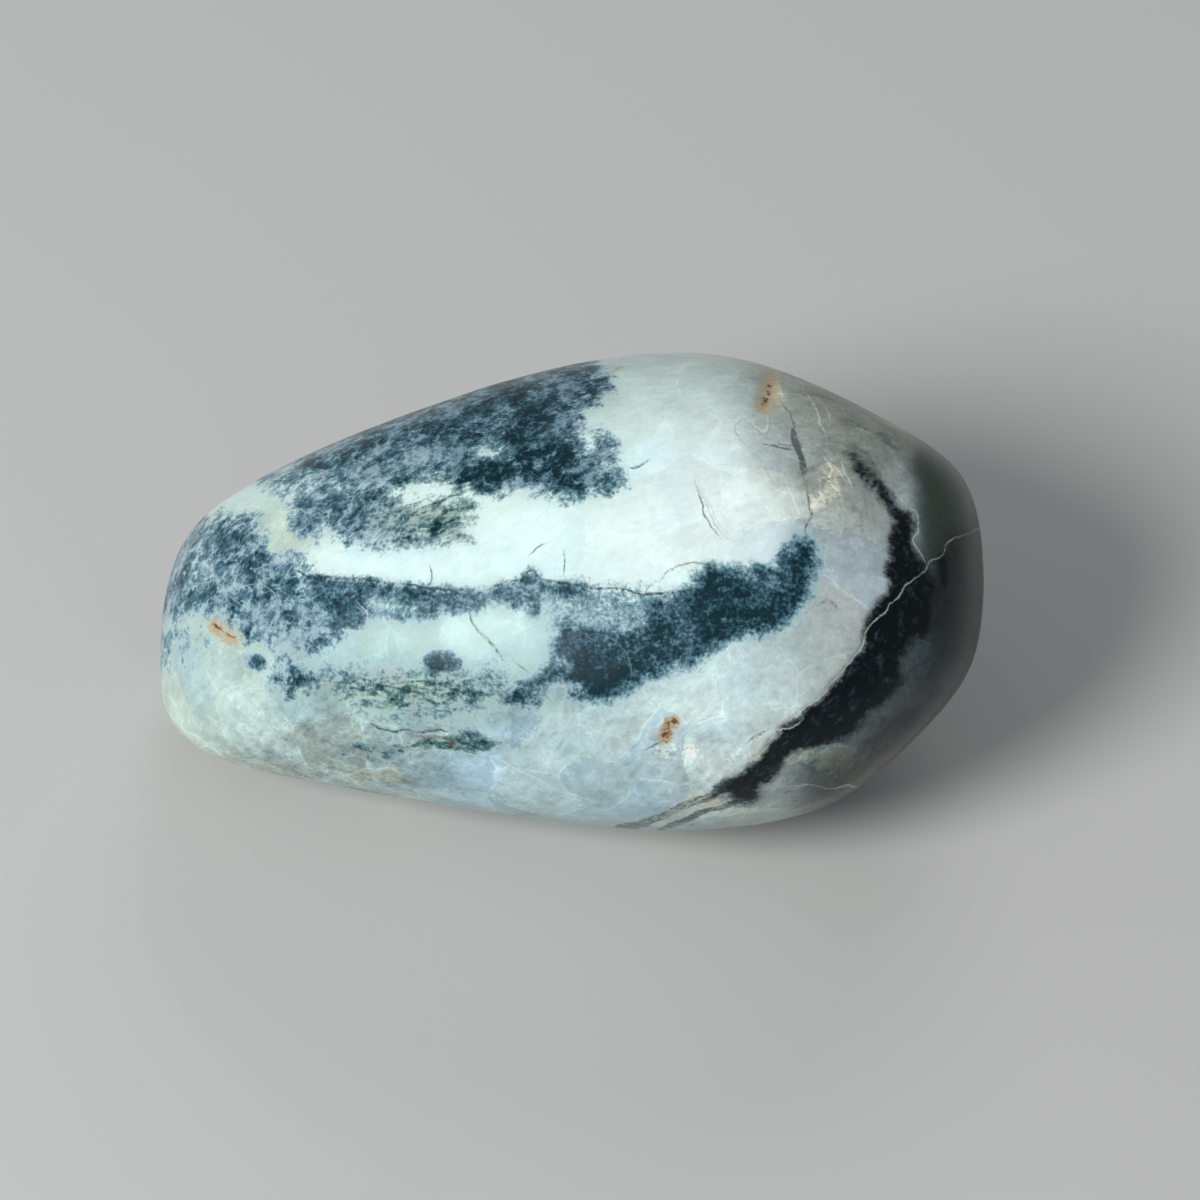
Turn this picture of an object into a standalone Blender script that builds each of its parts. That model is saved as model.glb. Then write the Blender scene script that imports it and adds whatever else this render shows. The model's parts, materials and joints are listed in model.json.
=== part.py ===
"""A river-worn jadeite pebble: one egg-shaped stone with a blunt narrow end, worn flats and
three small pits, resting on a small flat spot.

The stone lies along X with its narrow end at -X. It faces -Y, and it rests on Z = 0.
"""

import math

import bmesh
import bpy
from mathutils import Euler, Vector

MM = 0.001

# The egg that the pebble was before its flats were worn
EGG_HALF_LENGTH = 55 * MM
EGG_HALF_BREADTH = 31 * MM
EGG_HALF_HEIGHT = 24.5 * MM
EGG_TAPER = 0.275  # how much wider than the middle the +X end is, and how much narrower the -X end
EGG_SWELL = 0.155  # how much both ends are fuller than a plain taper leaves them
EGG_ROUNDING = 0.7  # how strongly the wide end draws in again, past the place below
ROUNDING_START = 0.5  # where that begins, as a share of the half length
END_DROP = 8.5 * MM  # how far the middle line sinks towards the narrow end
END_TURN = 3 * MM  # how far it bends forward there, towards -Y
END_LIFT = 2 * MM  # how far it rises towards the wide end
LEAN = math.radians(4.5)  # how far the narrow end leans down as the pebble lies
TURN = math.radians(4.5)  # how far it is turned back, towards +Y

# Worn flats: the way each one faces (azimuth from +X towards +Y, then elevation, in degrees),
# how deep it is worn into the egg, and the width over which its rim is rounded
WORN_FLATS = {
    "blunt end": (180, 1, 6.0 * MM, 7.0 * MM),
    "face": (268, 48, 1.6 * MM, 3.0 * MM),
    "long shoulder": (120, 41, 1.0 * MM, 4.0 * MM),
    "wide end": (-2, 4, 1.7 * MM, 5.0 * MM),
    "upper shoulder": (54, 39, 3.2 * MM, 5.0 * MM),
    "back": (82, 12, 2.0 * MM, 3.5 * MM),
    "heel": (30, -48, 1.5 * MM, 3.0 * MM),
    "toe": (-35, -30, 0.8 * MM, 3.0 * MM),
    "belly": (215, -40, 0.5 * MM, 3.0 * MM),
}
REST_WEAR = 1.0 * MM  # how much is worn off the underside, which leaves the spot it rests on

# Broad hollows that the river wore, and small pits where softer grains fell out: azimuth and
# elevation seen from the middle, radius, depth
HOLLOWS = {
    "back hollow": (104, 4, 15 * MM, 1.1 * MM),
    "heel hollow": (48, -34, 11 * MM, 0.7 * MM),
    "belly hollow": (196, -38, 10 * MM, 0.8 * MM),
    "upper pit": (18, 44, 2.2 * MM, 0.8 * MM),
    "lower pit": (292, 11, 2.2 * MM, 0.8 * MM),
    "end pit": (194, 4, 2.2 * MM, 0.6 * MM),
}

CAGE_CUTS = 13  # cuts across each face of the cube that becomes the cage
SMOOTHING = 1  # subdivision levels that round the cage

JADE_WHITE = (0.62, 0.72, 0.68, 1.0)
JADE_ROUGHNESS = 0.35


def clear_scene():
    for obj in list(bpy.data.objects):
        bpy.data.objects.remove(obj)


def facing(azimuth, elevation):
    """The unit vector that points this way, in degrees."""
    turn, rise = math.radians(azimuth), math.radians(elevation)
    return Vector((math.cos(rise) * math.cos(turn), math.cos(rise) * math.sin(turn), math.sin(rise)))


def egg_point(way):
    """The point of the unworn egg that this unit vector leads to."""
    along = way.x
    fullness = 1 + EGG_TAPER * along + EGG_SWELL * along ** 2
    fullness -= EGG_ROUNDING * max(along - ROUNDING_START, 0) ** 2
    bend = Vector((0, -END_TURN, -END_DROP)) if along < 0 else Vector((0, 0, END_LIFT))
    round_egg = Vector((
        EGG_HALF_LENGTH * along,
        EGG_HALF_BREADTH * fullness * way.y,
        EGG_HALF_HEIGHT * fullness * way.z,
    ))
    return Euler((0, -LEAN, -TURN)).to_matrix() @ (round_egg + bend * along ** 2)


def beyond(height, rim):
    """How far a point this much outside a flat is worn back, eased over the flat's rim."""
    if height <= -rim:
        return 0.0
    if height >= rim:
        return height
    return (height + rim) ** 2 / (4 * rim)


def wear_flats(points):
    """Presses each worn flat into the egg."""
    for azimuth, elevation, depth, rim in WORN_FLATS.values():
        normal = facing(azimuth, elevation)
        flat = max(point.dot(normal) for point in points) - depth
        for point in points:
            point -= normal * beyond(point.dot(normal) - flat, rim)


def wear_rest(points):
    """Sets the pebble down on Z = 0 and wears its underside flat there."""
    lowest = min(point.z for point in points)
    for point in points:
        point.z = max(point.z - lowest - REST_WEAR, 0.0)


def sink_hollows(points):
    """Sinks each hollow and pit into the surface, towards the middle of the stone."""
    low = Vector([min(point[axis] for point in points) for axis in range(3)])
    high = Vector([max(point[axis] for point in points) for axis in range(3)])
    middle = (low + high) / 2
    for azimuth, elevation, radius, depth in HOLLOWS.values():
        way = facing(azimuth, elevation)
        mouth = max(points, key=lambda point: (point - middle).normalized().dot(way)).copy()
        for point in points:
            away = (point - mouth).length / radius
            point -= way * depth * math.exp(-away * away)


def centre(points):
    """Moves the stone so that the middle of its outline, seen from above, is over the origin."""
    for axis in range(2):
        values = [point[axis] for point in points]
        shift = (min(values) + max(values)) / 2
        for point in points:
            point[axis] -= shift


def jade_material():
    material = bpy.data.materials.new("jade")
    material.use_nodes = True
    shader = material.node_tree.nodes["Principled BSDF"]
    shader.inputs["Base Color"].default_value = JADE_WHITE
    shader.inputs["Roughness"].default_value = JADE_ROUGHNESS
    shader.inputs["Metallic"].default_value = 0.0
    return material


def build_stone(collection):
    mesh = bpy.data.meshes.new("stone")
    cage = bmesh.new()
    bmesh.ops.create_cube(cage, size=2)
    bmesh.ops.subdivide_edges(cage, edges=cage.edges, cuts=CAGE_CUTS, use_grid_fill=True)
    points = [egg_point(vertex.co.normalized()) for vertex in cage.verts]
    wear_flats(points)
    wear_rest(points)
    sink_hollows(points)
    centre(points)
    for vertex, point in zip(cage.verts, points):
        vertex.co = point
    cage.to_mesh(mesh)
    cage.free()
    mesh.shade_smooth()
    mesh.materials.append(jade_material())

    stone = bpy.data.objects.new("stone", mesh)
    collection.objects.link(stone)
    smooth = stone.modifiers.new("Smooth", "SUBSURF")
    smooth.levels = SMOOTHING
    smooth.render_levels = SMOOTHING
    return stone


def main():
    clear_scene()
    collection = bpy.data.collections.new("Jadeite pebble")
    bpy.context.scene.collection.children.link(collection)
    build_stone(collection)


main()
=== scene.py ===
"""Dresses the jadeite pebble: its worn skin, its markings, its waxy polish, and the stage."""

import json
import math

import bmesh
import bpy
import numpy as np
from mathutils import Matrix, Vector

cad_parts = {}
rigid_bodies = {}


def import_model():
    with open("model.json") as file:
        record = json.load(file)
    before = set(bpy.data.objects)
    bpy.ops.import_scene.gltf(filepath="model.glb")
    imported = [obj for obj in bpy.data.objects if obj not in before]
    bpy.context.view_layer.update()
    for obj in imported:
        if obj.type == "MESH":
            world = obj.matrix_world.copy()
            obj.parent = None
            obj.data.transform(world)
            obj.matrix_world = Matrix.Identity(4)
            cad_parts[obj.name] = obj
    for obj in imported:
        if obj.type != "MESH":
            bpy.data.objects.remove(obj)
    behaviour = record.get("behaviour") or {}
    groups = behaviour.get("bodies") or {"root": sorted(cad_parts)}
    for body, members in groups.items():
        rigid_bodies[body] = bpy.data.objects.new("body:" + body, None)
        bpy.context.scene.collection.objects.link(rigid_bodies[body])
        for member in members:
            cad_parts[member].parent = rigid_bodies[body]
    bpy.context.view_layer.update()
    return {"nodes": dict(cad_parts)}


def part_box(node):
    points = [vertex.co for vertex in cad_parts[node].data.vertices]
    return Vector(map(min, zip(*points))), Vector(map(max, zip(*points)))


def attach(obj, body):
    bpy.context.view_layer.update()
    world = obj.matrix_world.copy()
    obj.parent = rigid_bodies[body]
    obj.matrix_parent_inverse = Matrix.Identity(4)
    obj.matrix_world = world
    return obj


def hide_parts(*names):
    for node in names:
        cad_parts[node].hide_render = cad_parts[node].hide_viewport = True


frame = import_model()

bl_info = {
    "name": "Jadeite Pebble",
    "version": (1, 0, 0),
    "blender": (4, 5, 0),
    "location": "View3D > Sidebar > Pebble",
    "description": "Makes a river-worn jadeite pebble with slate mottling, veins and rust spots",
    "category": "Object",
}

MM = 0.001
STONE_LOW, STONE_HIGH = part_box("stone")
MIDDLE = (STONE_LOW + STONE_HIGH) / 2

# The marked face looks forward and up. Its markings are laid out as they show from the eye,
# in millimetres across and up from the middle of the stone.
FACE_RISE = math.radians(45)
ACROSS = Vector((1, 0, 0))
UP = Vector((0, math.sin(FACE_RISE), math.cos(FACE_RISE)))
OUT = Vector((0, -math.cos(FACE_RISE), math.sin(FACE_RISE)))
EYE_DISTANCE = 600.0
EYE_ACROSS = 3.87
EYE_UP = -1.37
VIEW_WIDTH = 145.6 * MM
SENSOR = 36.0

# Markings

# Slate patches: tone (0 pale to 1 black), width of the edge in mm, share of coarse mottling,
# and the outline
SLATE = {
    "upper patch": (0.66, 0.9, 0.9, [
        (-37, 13), (-36, 16), (-20, 25), (-8, 30), (0, 31), (2.5, 27.4), (4.6, 25.3), (4.6, 23.8),
        (3.3, 22.8), (1.5, 22), (1.2, 20.5), (1.1, 18.5), (1.6, 17.2), (3.6, 18.4), (5.3, 17), (5, 15),
        (6.3, 13), (5, 12.2), (3.5, 11.8), (0, 11.2), (-3, 12), (-6, 12.2), (-11, 12), (-15.5, 13.2),
        (-17, 13.8), (-18.5, 12.8), (-22, 12.3), (-26, 12), (-30, 12.6), (-33, 11.5)]),
    "streaked lobe": (0.60, 0.9, 0.8, [
        (-33.5, 12), (-33, 7), (-31.5, 6.3), (-30, 7.3), (-28, 6.6), (-26.5, 5.9), (-24, 5.4),
        (-20, 5.3), (-16, 5.8), (-12.5, 6.2), (-13, 7.5), (-11.5, 9.5), (-12.5, 10.3), (-16, 10.6),
        (-20, 11.5), (-23, 13), (-30, 13.5)]),
    "narrow end": (0.55, 1.1, 1.0, [
        (-60, 7), (-52, 8), (-44, 8.4), (-41, 8.6), (-38, 8), (-37, 6), (-36.5, 4.5), (-33.5, 3.8),
        (-32, 1.8), (-30, 1), (-26, -1), (-27.5, -3), (-27, -4.8), (-26.5, -5.6), (-28.5, -6.2),
        (-31, -7.5), (-32.4, -8.6), (-32, -10), (-30.5, -11.4), (-32, -12), (-33.3, -13),
        (-34.5, -12), (-35.2, -11), (-34.2, -10), (-34.5, -8.5), (-35, -7.4), (-36.5, -6.6),
        (-38.5, -6.3), (-40, -5.5), (-42.5, -4), (-44, -3.4), (-46.5, -3.2), (-49, -3.6), (-60, -4)]),
    "thin band": (0.66, 0.5, 0.6, [
        (-31.5, 1.2), (-28, 1.3), (-25.5, 1.3), (-24, 0.9), (-22.3, 0.4), (-19.5, 0.5), (-17.5, 0.2),
        (-15.5, -0.3), (-13, -0.4), (-11, -0.3), (-9, 0.3), (-7.5, 0.7), (-6, 0.9), (-5, 1.5),
        (-4.2, 2.3), (-3.3, 1.3), (-1.8, 0.8), (0, 0.9), (2.5, 0.3), (1.5, -1.5), (-0.5, -1.2),
        (-2.5, -0.7), (-3.6, -2.8), (-4.3, -3.1), (-6, -2.2), (-8, -1.8), (-9.5, -2), (-11, -2.6),
        (-13, -2.7), (-15, -2.7), (-16.5, -3.4), (-18.3, -3.9), (-20, -4), (-22, -3.6),
        (-24.2, -3.9), (-25.5, -4.6), (-27, -5.2), (-30, -4)]),
    "tongue": (0.88, 0.8, 0.38, [
        (9.6, -1.6), (12.5, -0.5), (14.5, -0.5), (15.8, 0.5), (15.2, 1), (16.5, 1.3), (17, 2.4),
        (18.5, 2.5), (20, 2), (22, 2.4), (24.5, 2.3), (25.5, 2.8), (25.7, 3.8), (26.5, 4.8),
        (27.5, 5.6), (28.8, 5.5), (29.8, 4.5), (30.2, 3), (29.8, 1.2), (29, -0.5), (28, -2),
        (26.5, -3.5), (25, -4.8), (23.5, -5.4), (21, -5.3), (19, -5.8), (18, -6.8), (16, -8.2),
        (14, -9.2), (12, -9.8), (10, -10.8), (8.5, -11.4), (7, -12.2), (5.5, -13.2), (3, -13.2),
        (0.5, -13), (1.5, -12), (0, -11), (-1.5, -11.3), (-3, -12.5), (-4.2, -13.8), (-6, -14.4),
        (-7.3, -13.8), (-7.6, -13), (-6, -11.8), (-4, -10.6), (-2.5, -9.7), (-0.5, -9.3),
        (-1.3, -8.3), (-1.7, -7), (-1.3, -5.4), (-0.5, -4.2), (2, -4.3), (4.5, -4.8), (7, -4.8),
        (8.6, -4.2), (9.2, -3)]),
    "haze above the tongue": (0.36, 1.3, 0.2, [
        (-2, -1), (0, 0.4), (4, -0.2), (9.5, -0.6), (10.5, -2.5), (9, -5), (4, -5.5), (-1.5, -4.8)]),
    "dark drop": (0.9, 0.4, 0.0, [
        (-17.6, -9), (-16.8, -8), (-15, -7.7), (-13.4, -8.4), (-13.1, -9.4), (-14.3, -10.3),
        (-16.2, -10.2)]),
    "smudge by the narrow end": (0.24, 1.6, 0.8, [
        (-54, -4), (-49, -4.4), (-46, -4.6), (-44.5, -6), (-45.5, -8.5), (-48, -9.6), (-54, -9)]),
    "small spot": (0.74, 0.45, 0.3, [(-39.4, -8.8), (-38, -8), (-36.6, -8.6), (-37.8, -9.6)]),
    "green streaks": (0.60, 2.0, 0.1, [
        (-32, -11.2), (-27, -10.6), (-22, -11), (-17, -10.9), (-12, -11.2), (-8.6, -10.8),
        (-9, -12.4), (-11.5, -14.2), (-15, -14.6), (-19, -15.2), (-22, -14), (-26, -13),
        (-30, -12.4)]),
    "lower streak": (0.62, 0.38, 0.2, [
        (-28.4, -20.1), (-26.8, -19.2), (-24.6, -18.9), (-22, -19.2), (-19.8, -18.9),
        (-17, -18.2), (-15, -18.2), (-13.8, -17.5), (-11.2, -17.1), (-9.4, -18.2),
        (-7.8, -18.7), (-9.2, -19.1), (-11.5, -19.8), (-13.8, -19.4), (-15.4, -19.2),
        (-18, -19.2), (-20.4, -19.8), (-22.4, -20.6), (-24.3, -19.7), (-26.8, -19.8)]),
    "under the rim": (0.42, 2.0, 0.9, [
        (-24, -46), (-8, -38), (10, -40), (26, -44), (22, -52), (4, -50), (-14, -54)]),
}

# Pale islands in the slate: how much they clear, width of the edge in mm, and the outline
PALE_ISLANDS = {
    "oval island": (0.55, 1.0, [
        (-12, 16.6), (-10.5, 18), (-8, 18.2), (-6.9, 17), (-8, 15.9), (-10.6, 15.7)]),
    "round island": (0.8, 0.5, [(1.6, 17.6), (2.4, 18.5), (3.4, 18.2), (3.4, 17), (2.5, 16.5)]),
    "lens island": (0.60, 1.1, [
        (-22.5, 11.5), (-20, 12.4), (-17, 12.2), (-15.8, 10.8), (-18, 10), (-21, 10.2)]),
    "end island": (0.5, 1.3, [
        (-35.4, 11.2), (-35, 14.6), (-32, 15.2), (-30.4, 13.2), (-32, 11)]),
    "band island": (0.62, 1.0, [
        (-24.6, -1.6), (-22.8, -1.2), (-20, -1.6), (-18.4, -2.4), (-20, -3.6), (-23.5, -3.6)]),
    "tail island": (0.30, 0.8, [(-5.6, -12.2), (-4, -11.2), (-3, -11.4), (-3.6, -12.6), (-5, -13)]),
    "tongue island": (0.3, 1.0, [(21.8, 0.8), (23.4, 1.7), (24.8, 0.8), (23.6, -0.2)]),
}

# Where the slate is deeper or paler than its patch: across, up, radii, and by how much
SLATE_DEPTHS = {
    "top of the upper patch": (-3.5, 20, 7, 6, 0.16),
    "foot of the upper patch": (-8, 13.6, 8, 1.6, 0.10),
    "middle of the upper patch": (-15, 17, 7, 5, 0.06),
    "far side of the upper patch": (-28, 15, 9, 6, -0.10),
    "lobe": (-22, 8, 8, 2, -0.06),
    "heart of the tongue": (5, -8, 4.5, 3.0, 0.03),
    "back of the tongue": (14, -4, 5, 3, -0.05),
    "step in the thin band": (-16.5, -1.8, 1.8, 1.2, 0.22),
    "lilac stretch": (-29, -1.5, 4, 2.4, -0.06),
    "end rim": (-46, 3, 4, 5, -0.08),
    "corner of the end": (-33, -12, 1.6, 1.4, 0.24),
    "gap in the narrow end": (-41, 1.2, 2.2, 1.3, -0.06),
    "pale patch of the narrow end": (-44.5, 4.5, 1.6, 2.2, -0.12),
    "dark knot of the narrow end": (-37.5, 3.4, 2.6, 1.6, 0.14),
    "knot in the upper patch": (-2.6, 14.6, 2.4, 1.4, 0.08),
    "pale cloud in the upper patch": (-17.5, 15.2, 3.4, 1.6, -0.16),
    "shadow above the corner": (-35, -10.8, 1.4, 1.2, 0.15),
}

# The black band that runs through the wide end: width of the edge in mm, and the outline
BLACK = {
    "band": (0.9, [
        (36.3, 14.6), (37.4, 11.5), (38.5, 10), (39.3, 8.5), (39, 7), (38.5, 6.3), (38.8, 4.8),
        (39, 3.5), (38.3, 2), (38.8, 0.5), (37.5, -1.5), (36.5, -3), (35.8, -4.5), (35.8, -6.5),
        (34.8, -8), (33.8, -9.3), (33, -10.5), (31.5, -12), (29.5, -14), (28, -15), (26.5, -16),
        (24.5, -18.3), (23, -20), (21, -22), (19, -23.5), (17, -24.7), (17.5, -25.2), (19.5, -25.3),
        (20, -26.1), (22.5, -26), (23.7, -24.5), (25, -23), (26.5, -21), (28.5, -19.8),
        (31, -19.2), (33.5, -18.2), (35.5, -16.8), (37.5, -14.8), (39.5, -12.8), (40.7, -11),
        (40.5, -9), (41, -7.5), (42.3, -6.2), (43.5, -5.8), (44.3, -4.5), (44, -3), (44.3, -1.2),
        (44.6, 0.5), (43.8, 1.7), (43, 3.5), (42.3, 5), (41.8, 7.4), (41.5, 9), (40.5, 9.8),
        (39.5, 11), (38.5, 12.5), (37.5, 14.2)]),
    "smear above the band": (1.4, [
        (34, 16.9), (35, 17), (36, 15.4), (37.2, 13.4), (37.4, 12), (36.2, 12.2), (34.9, 14.2)]),
    "streak past the vein": (0.5, [(44.9, 4.1), (45.6, 4.2), (46.1, 2.2), (46, 0), (45.4, 0.8)]),
}
# The same for the green rim beside it
GREEN = {
    "green rim": (1.4, [
        (41.7, 14.5), (44, 17), (47.5, 13.5), (49, 10), (47.6, 7.5), (45.8, 5.8), (45.3, 4.7),
        (44.5, 4.5), (43.6, 5.5), (43.3, 7.5), (42.8, 9.5), (43, 11), (42.5, 13)]),
}

# Veins and cracks, and a few painted shadows along the wrinkle and the cream line: half width in mm,
# and the path
DARK_LINES = {
    "crack over the tongue": (0.10, [
        (25.9, 22.5), (26.8, 21.5), (27.1, 20.2), (27.3, 19), (27.8, 17.5), (28.2, 15.5),
        (28.6, 14), (28.9, 12), (29, 10), (29.4, 8.8), (28.9, 7.8), (28.8, 5.8)]),
    "wide part of the crack": (0.42, [(27.25, 18.8), (27.6, 17.6), (28.1, 16), (28.5, 14.4)]),
    "branch of the crack": (0.10, [(23.6, 17.8), (24.8, 17.3), (26, 16.9), (27.3, 16.9)]),
    "upper edge of the thin band": (0.15, [
        (-33, 2.2), (-31.5, 1.4), (-28, 1.4), (-25.5, 1.35), (-22.3, 0.5), (-19.5, 0.55),
        (-17.5, 0.25), (-15.5, -0.25), (-13, -0.35), (-11, -0.25), (-9, 0.35), (-7.5, 0.75),
        (-6, 0.95), (-5, 1.55), (-4.2, 2.2), (-3.3, 1.3), (-1, 0.8), (1.5, 0.5), (3, 0),
        (5, 0), (7, -0.2), (9, -0.6), (11, -0.4), (14, -0.3), (15.5, -0.3)]),
    "slanting hair": (0.17, [
        (-11.9, -3.2), (-11.6, -4.3), (-10.8, -5.4), (-9.8, -6.3), (-8.8, -7.6), (-8, -8.4)]),
    "end of the slanting hair": (0.09, [(-6.4, -8.8), (-5.6, -9.5), (-5, -9.9)]),
    "lower crack": (0.13, [
        (-24, -16.2), (-23, -16.8), (-21.5, -17.2), (-19, -17.4), (-17, -17.2), (-15.8, -17.1),
        (-14.8, -17.2)]),
    "dash in the white": (0.12, [(7.5, 14.7), (8.5, 15), (9.6, 15.6)]),
    "dash at the top": (0.10, [(4.8, 26), (5.5, 26.6), (7, 26.9)]),
    "arc over the step": (0.08, [(-4.8, 4), (-3.8, 4.9), (-2.7, 5.5)]),
    "hook over the step": (0.09, [(-0.3, 4.5), (-0.2, 3), (-0.5, 2)]),
    "small hook": (0.09, [(-16.8, 2.6), (-16.5, 1.4), (-16.9, 0.3)]),
    # Painted shadow: the dark line below runs along the left side of the cream line, standing in for
    # its shade
    "shadow beside the cream line": (0.08, [(15.7, 12.7), (15.9, 11), (16.4, 9.4), (17.4, 7.8), (18.4, 6.5)]),
    "dash by the lower pit": (0.10, [(9.2, -19.6), (10.3, -19.1), (11.4, -18.8)]),
    "dash by the band": (0.10, [(21.8, -18.8), (23, -17.8), (24.3, -17.1)]),
    "tail of the band": (0.50, [
        (19.5, -23.6), (17, -25), (13, -26.8), (9, -28.4), (6, -29.2)]),
    "second tail of the band": (0.30, [(21, -25.8), (17, -26.9), (14, -28.2), (11, -29.3)]),
    "line beside the grey patch": (0.14, [(44.5, -7), (43.5, -8.7), (42, -9.8), (41.3, -10.6)]),
    "green hair": (0.12, [(-29.5, -11.2), (-27, -11.5), (-25, -10.8), (-22, -11.8), (-17, -13)]),
    "fork of the green hair": (0.10, [(-21, -11.5), (-17.5, -11.2), (-13, -12.5), (-12, -14)]),
}
BROWN_LINES = {
    "loop over the tongue": (0.13, [
        (9.4, -0.2), (10, 0.7), (11, 1.1), (12, 2), (13, 2.5), (14.5, 2.95), (16.5, 2.9),
        (17.8, 2.7)]),
    "under the lower crack": (0.24, [(-18.6, -17.9), (-16.5, -17.9), (-14.6, -18.3), (-13.8, -19.4)]),
    "stain at the fork": (0.16, [(-14.6, -11), (-14.2, -12), (-14.6, -12.8)]),
    "foot of the slanting hair": (0.12, [(-9.6, -6.5), (-8.8, -7.7)]),
    "stain by the branch": (0.13, [(25.4, 17.4), (27, 17.5), (28.6, 17.2)]),
    # Painted shadow: these two brown lines stand in for the shade along the wrinkle and the cream
    # line, which the skin does not raise
    "shade of the wrinkle": (0.05, [
        (24.2, 21.7), (24.7, 20.2), (24.2, 18.7), (23, 19.3), (21.3, 20.5), (20.4, 19.6),
        (20.8, 18.2), (22, 16.7), (24, 14.9), (24.6, 13.6)]),
    "shade of the cream line": (0.04, [
        (15.6, 14.4), (15.9, 12.4), (16.6, 10.3), (17.5, 8.6), (18.7, 6.8), (20.3, 5.2)]),
    "smudge in the lilac": (0.26, [(30.5, -1.8), (31.4, -1.4), (32.4, -2.1)]),
}
PALE_LINES = {
    "main vein": (0.07, [
        (51, 7.8), (49, 7), (46.7, 6), (45.8, 5.3), (45.3, 4.2), (44.3, 3.7), (43.5, 2.3),
        (42.2, 1.3), (41, 0.5), (40.3, -0.8), (39, -1.8), (38.3, -3), (37, -4.2), (36.3, -5.2),
        (35.8, -6.5), (34.8, -8), (33.8, -9.3), (33, -10.5), (31.5, -12), (29.5, -14), (28, -15),
        (26.5, -16)]),
    "second vein": (0.06, [(28.6, -15.6), (27, -16.6), (25, -17.3), (23, -18.5), (22, -19)]),
    "third vein": (0.06, [(25, -18.4), (24, -19.2), (22, -20.8), (20, -21.8)]),
    "fourth vein": (0.07, [(17.4, -24.4), (16, -25.4), (13.8, -26.9), (12.5, -27.3)]),
    "edge of the black band": (0.10, [(41.3, 9.6), (42.5, 8.8), (42.3, 7), (41.8, 6), (43.5, 3.2)]),
    "curl by the upper pit": (0.09, [(25.2, 26), (25.9, 24.5), (26, 23)]),
    "wrinkle": (0.10, [
        (23.9, 21.5), (24.4, 20.2), (24, 19), (23, 19.6), (22, 20.3), (21.3, 20.9), (20.5, 20.8),
        (20, 19.5), (20.5, 18), (21.6, 16.6), (22.8, 15.4), (23.8, 14.6), (24.3, 13.6)]),
    "cream line": (0.10, [
        (15.9, 14.5), (16.2, 12.5), (16.9, 10.5), (17.8, 8.8), (19, 7), (20.5, 5.4), (22.3, 4.3)]),
    "streak right of the pit": (0.11, [
        (28.6, 24.2), (29.3, 23), (30, 21.5), (30.6, 20), (31.3, 18.8)]),
    "second streak right of the pit": (0.08, [(31, 22), (31.8, 21), (32, 20)]),
    "corner of the upper patch": (0.11, [(4.9, 26.4), (5.8, 25), (7, 23.4), (8.4, 21.8), (9.2, 20.4)]),
    "end vein": (0.03, [
        (-43.5, 4), (-42.8, 1.5), (-41.5, -0.6), (-39.5, -2), (-37.5, -3.8), (-35.5, -5)]),
    "branch of the end vein": (0.02, [
        (-41.5, -0.6), (-39, 0.4), (-36.5, 0.2), (-34.8, -1.2), (-34.2, -3.4)]),
    "rim of the end vein": (0.02, [(-46.5, 1.2), (-44.4, 0.7), (-42.8, 1.5)]),
    "left hair": (0.05, [(-43, -12.8), (-40, -12.6), (-36, -12.7)]),
    "left bow": (0.06, [(-45, -14), (-43, -16), (-40.5, -17), (-38.5, -17.3)]),
    "long low line": (0.08, [
        (-4.5, -16.2), (-3.5, -17.2), (-1.5, -17.3), (0.5, -16.8), (2, -16.8), (3.5, -17.3),
        (5.5, -17.8), (7.5, -18.6)]),
    "stem": (0.05, [(3.2, -14), (4, -15.5), (4.5, -17)]),
    "falling line": (0.06, [(-4.5, -17.8), (-3, -20), (-2, -22), (-1, -24)]),
    "crystal edge": (0.10, [
        (-9.5, -20.3), (-7.5, -21.2), (-5, -22.4), (-2.5, -23.8), (-0.6, -24.8), (1.4, -25.3),
        (3, -25.6)]),
    "rise from the tongue": (0.08, [(16.8, -8.3), (15.5, -10), (14.5, -11.5), (13, -13)]),
    "short rise": (0.06, [(26.5, -4.7), (25.5, -6), (24.8, -7.5), (24, -8.5)]),
    "pink hair": (0.05, [(26, -24), (28, -23.8), (31, -24.1), (34, -24), (36, -24)]),
    "arc in the tongue": (0.0, [
        (2.2, -6), (4, -5.4), (6, -6.5), (7.2, -7.8), (7.8, -9.2), (7.9, -10.8)]),
    "loop in the thin band": (0.07, [(-25.8, -1.3), (-24.5, -2.5), (-24.5, -3.8)]),
    "crumb strokes": (0.14, [(31.2, 15.8), (32, 14.4), (31.4, 13), (32.6, 12), (33.4, 10.4)]),
    "crumb strokes beside": (0.12, [(33.2, 15.2), (33.8, 13.6), (34.4, 12.2)]),
    "crumb strokes below": (0.12, [(30.2, 13.8), (30.4, 12), (31, 10.6)]),
}

# Rust: half width of the brown core in mm, width of the halo round it, and the path
RUST = {
    "upper pit": (0.44, 1.8, [(24.6, 25), (24.2, 23.6), (23.9, 22.6)]),
    "lower pit": (0.66, 1.1, [(13, -16), (12.4, -17.4), (11.4, -18.5)]),
    "end pit": (0.24, 1.3, [(-42.8, -4.6), (-41.6, -5.6), (-40.3, -6.4)]),
}
# White crumbs round the pits: across, up, radii
CRUMBS = {
    "beside the upper pit": (25.6, 23.6, 0.8, 2.0),
    "crumbly corner": (31.8, 13.2, 1.5, 2.4),
    "foot of the crumbly corner": (30.2, 10.6, 1.4, 1.2),
    "under the lower pit": (11.6, -19.6, 1.9, 1.0),
    "right of the lower pit": (14.5, -19.8, 1.4, 0.9),
}
# Where the slate runs in streaks: across, up, radii
STREAKY = {
    "lobe": (-16, 9, 7, 4),
    "green streaks": (-20, -12.6, 12, 2.6),
    "lower streak": (-17, -19, 10, 1.7),
    "foot of the black band": (16, -25, 7, 3),
}
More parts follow.
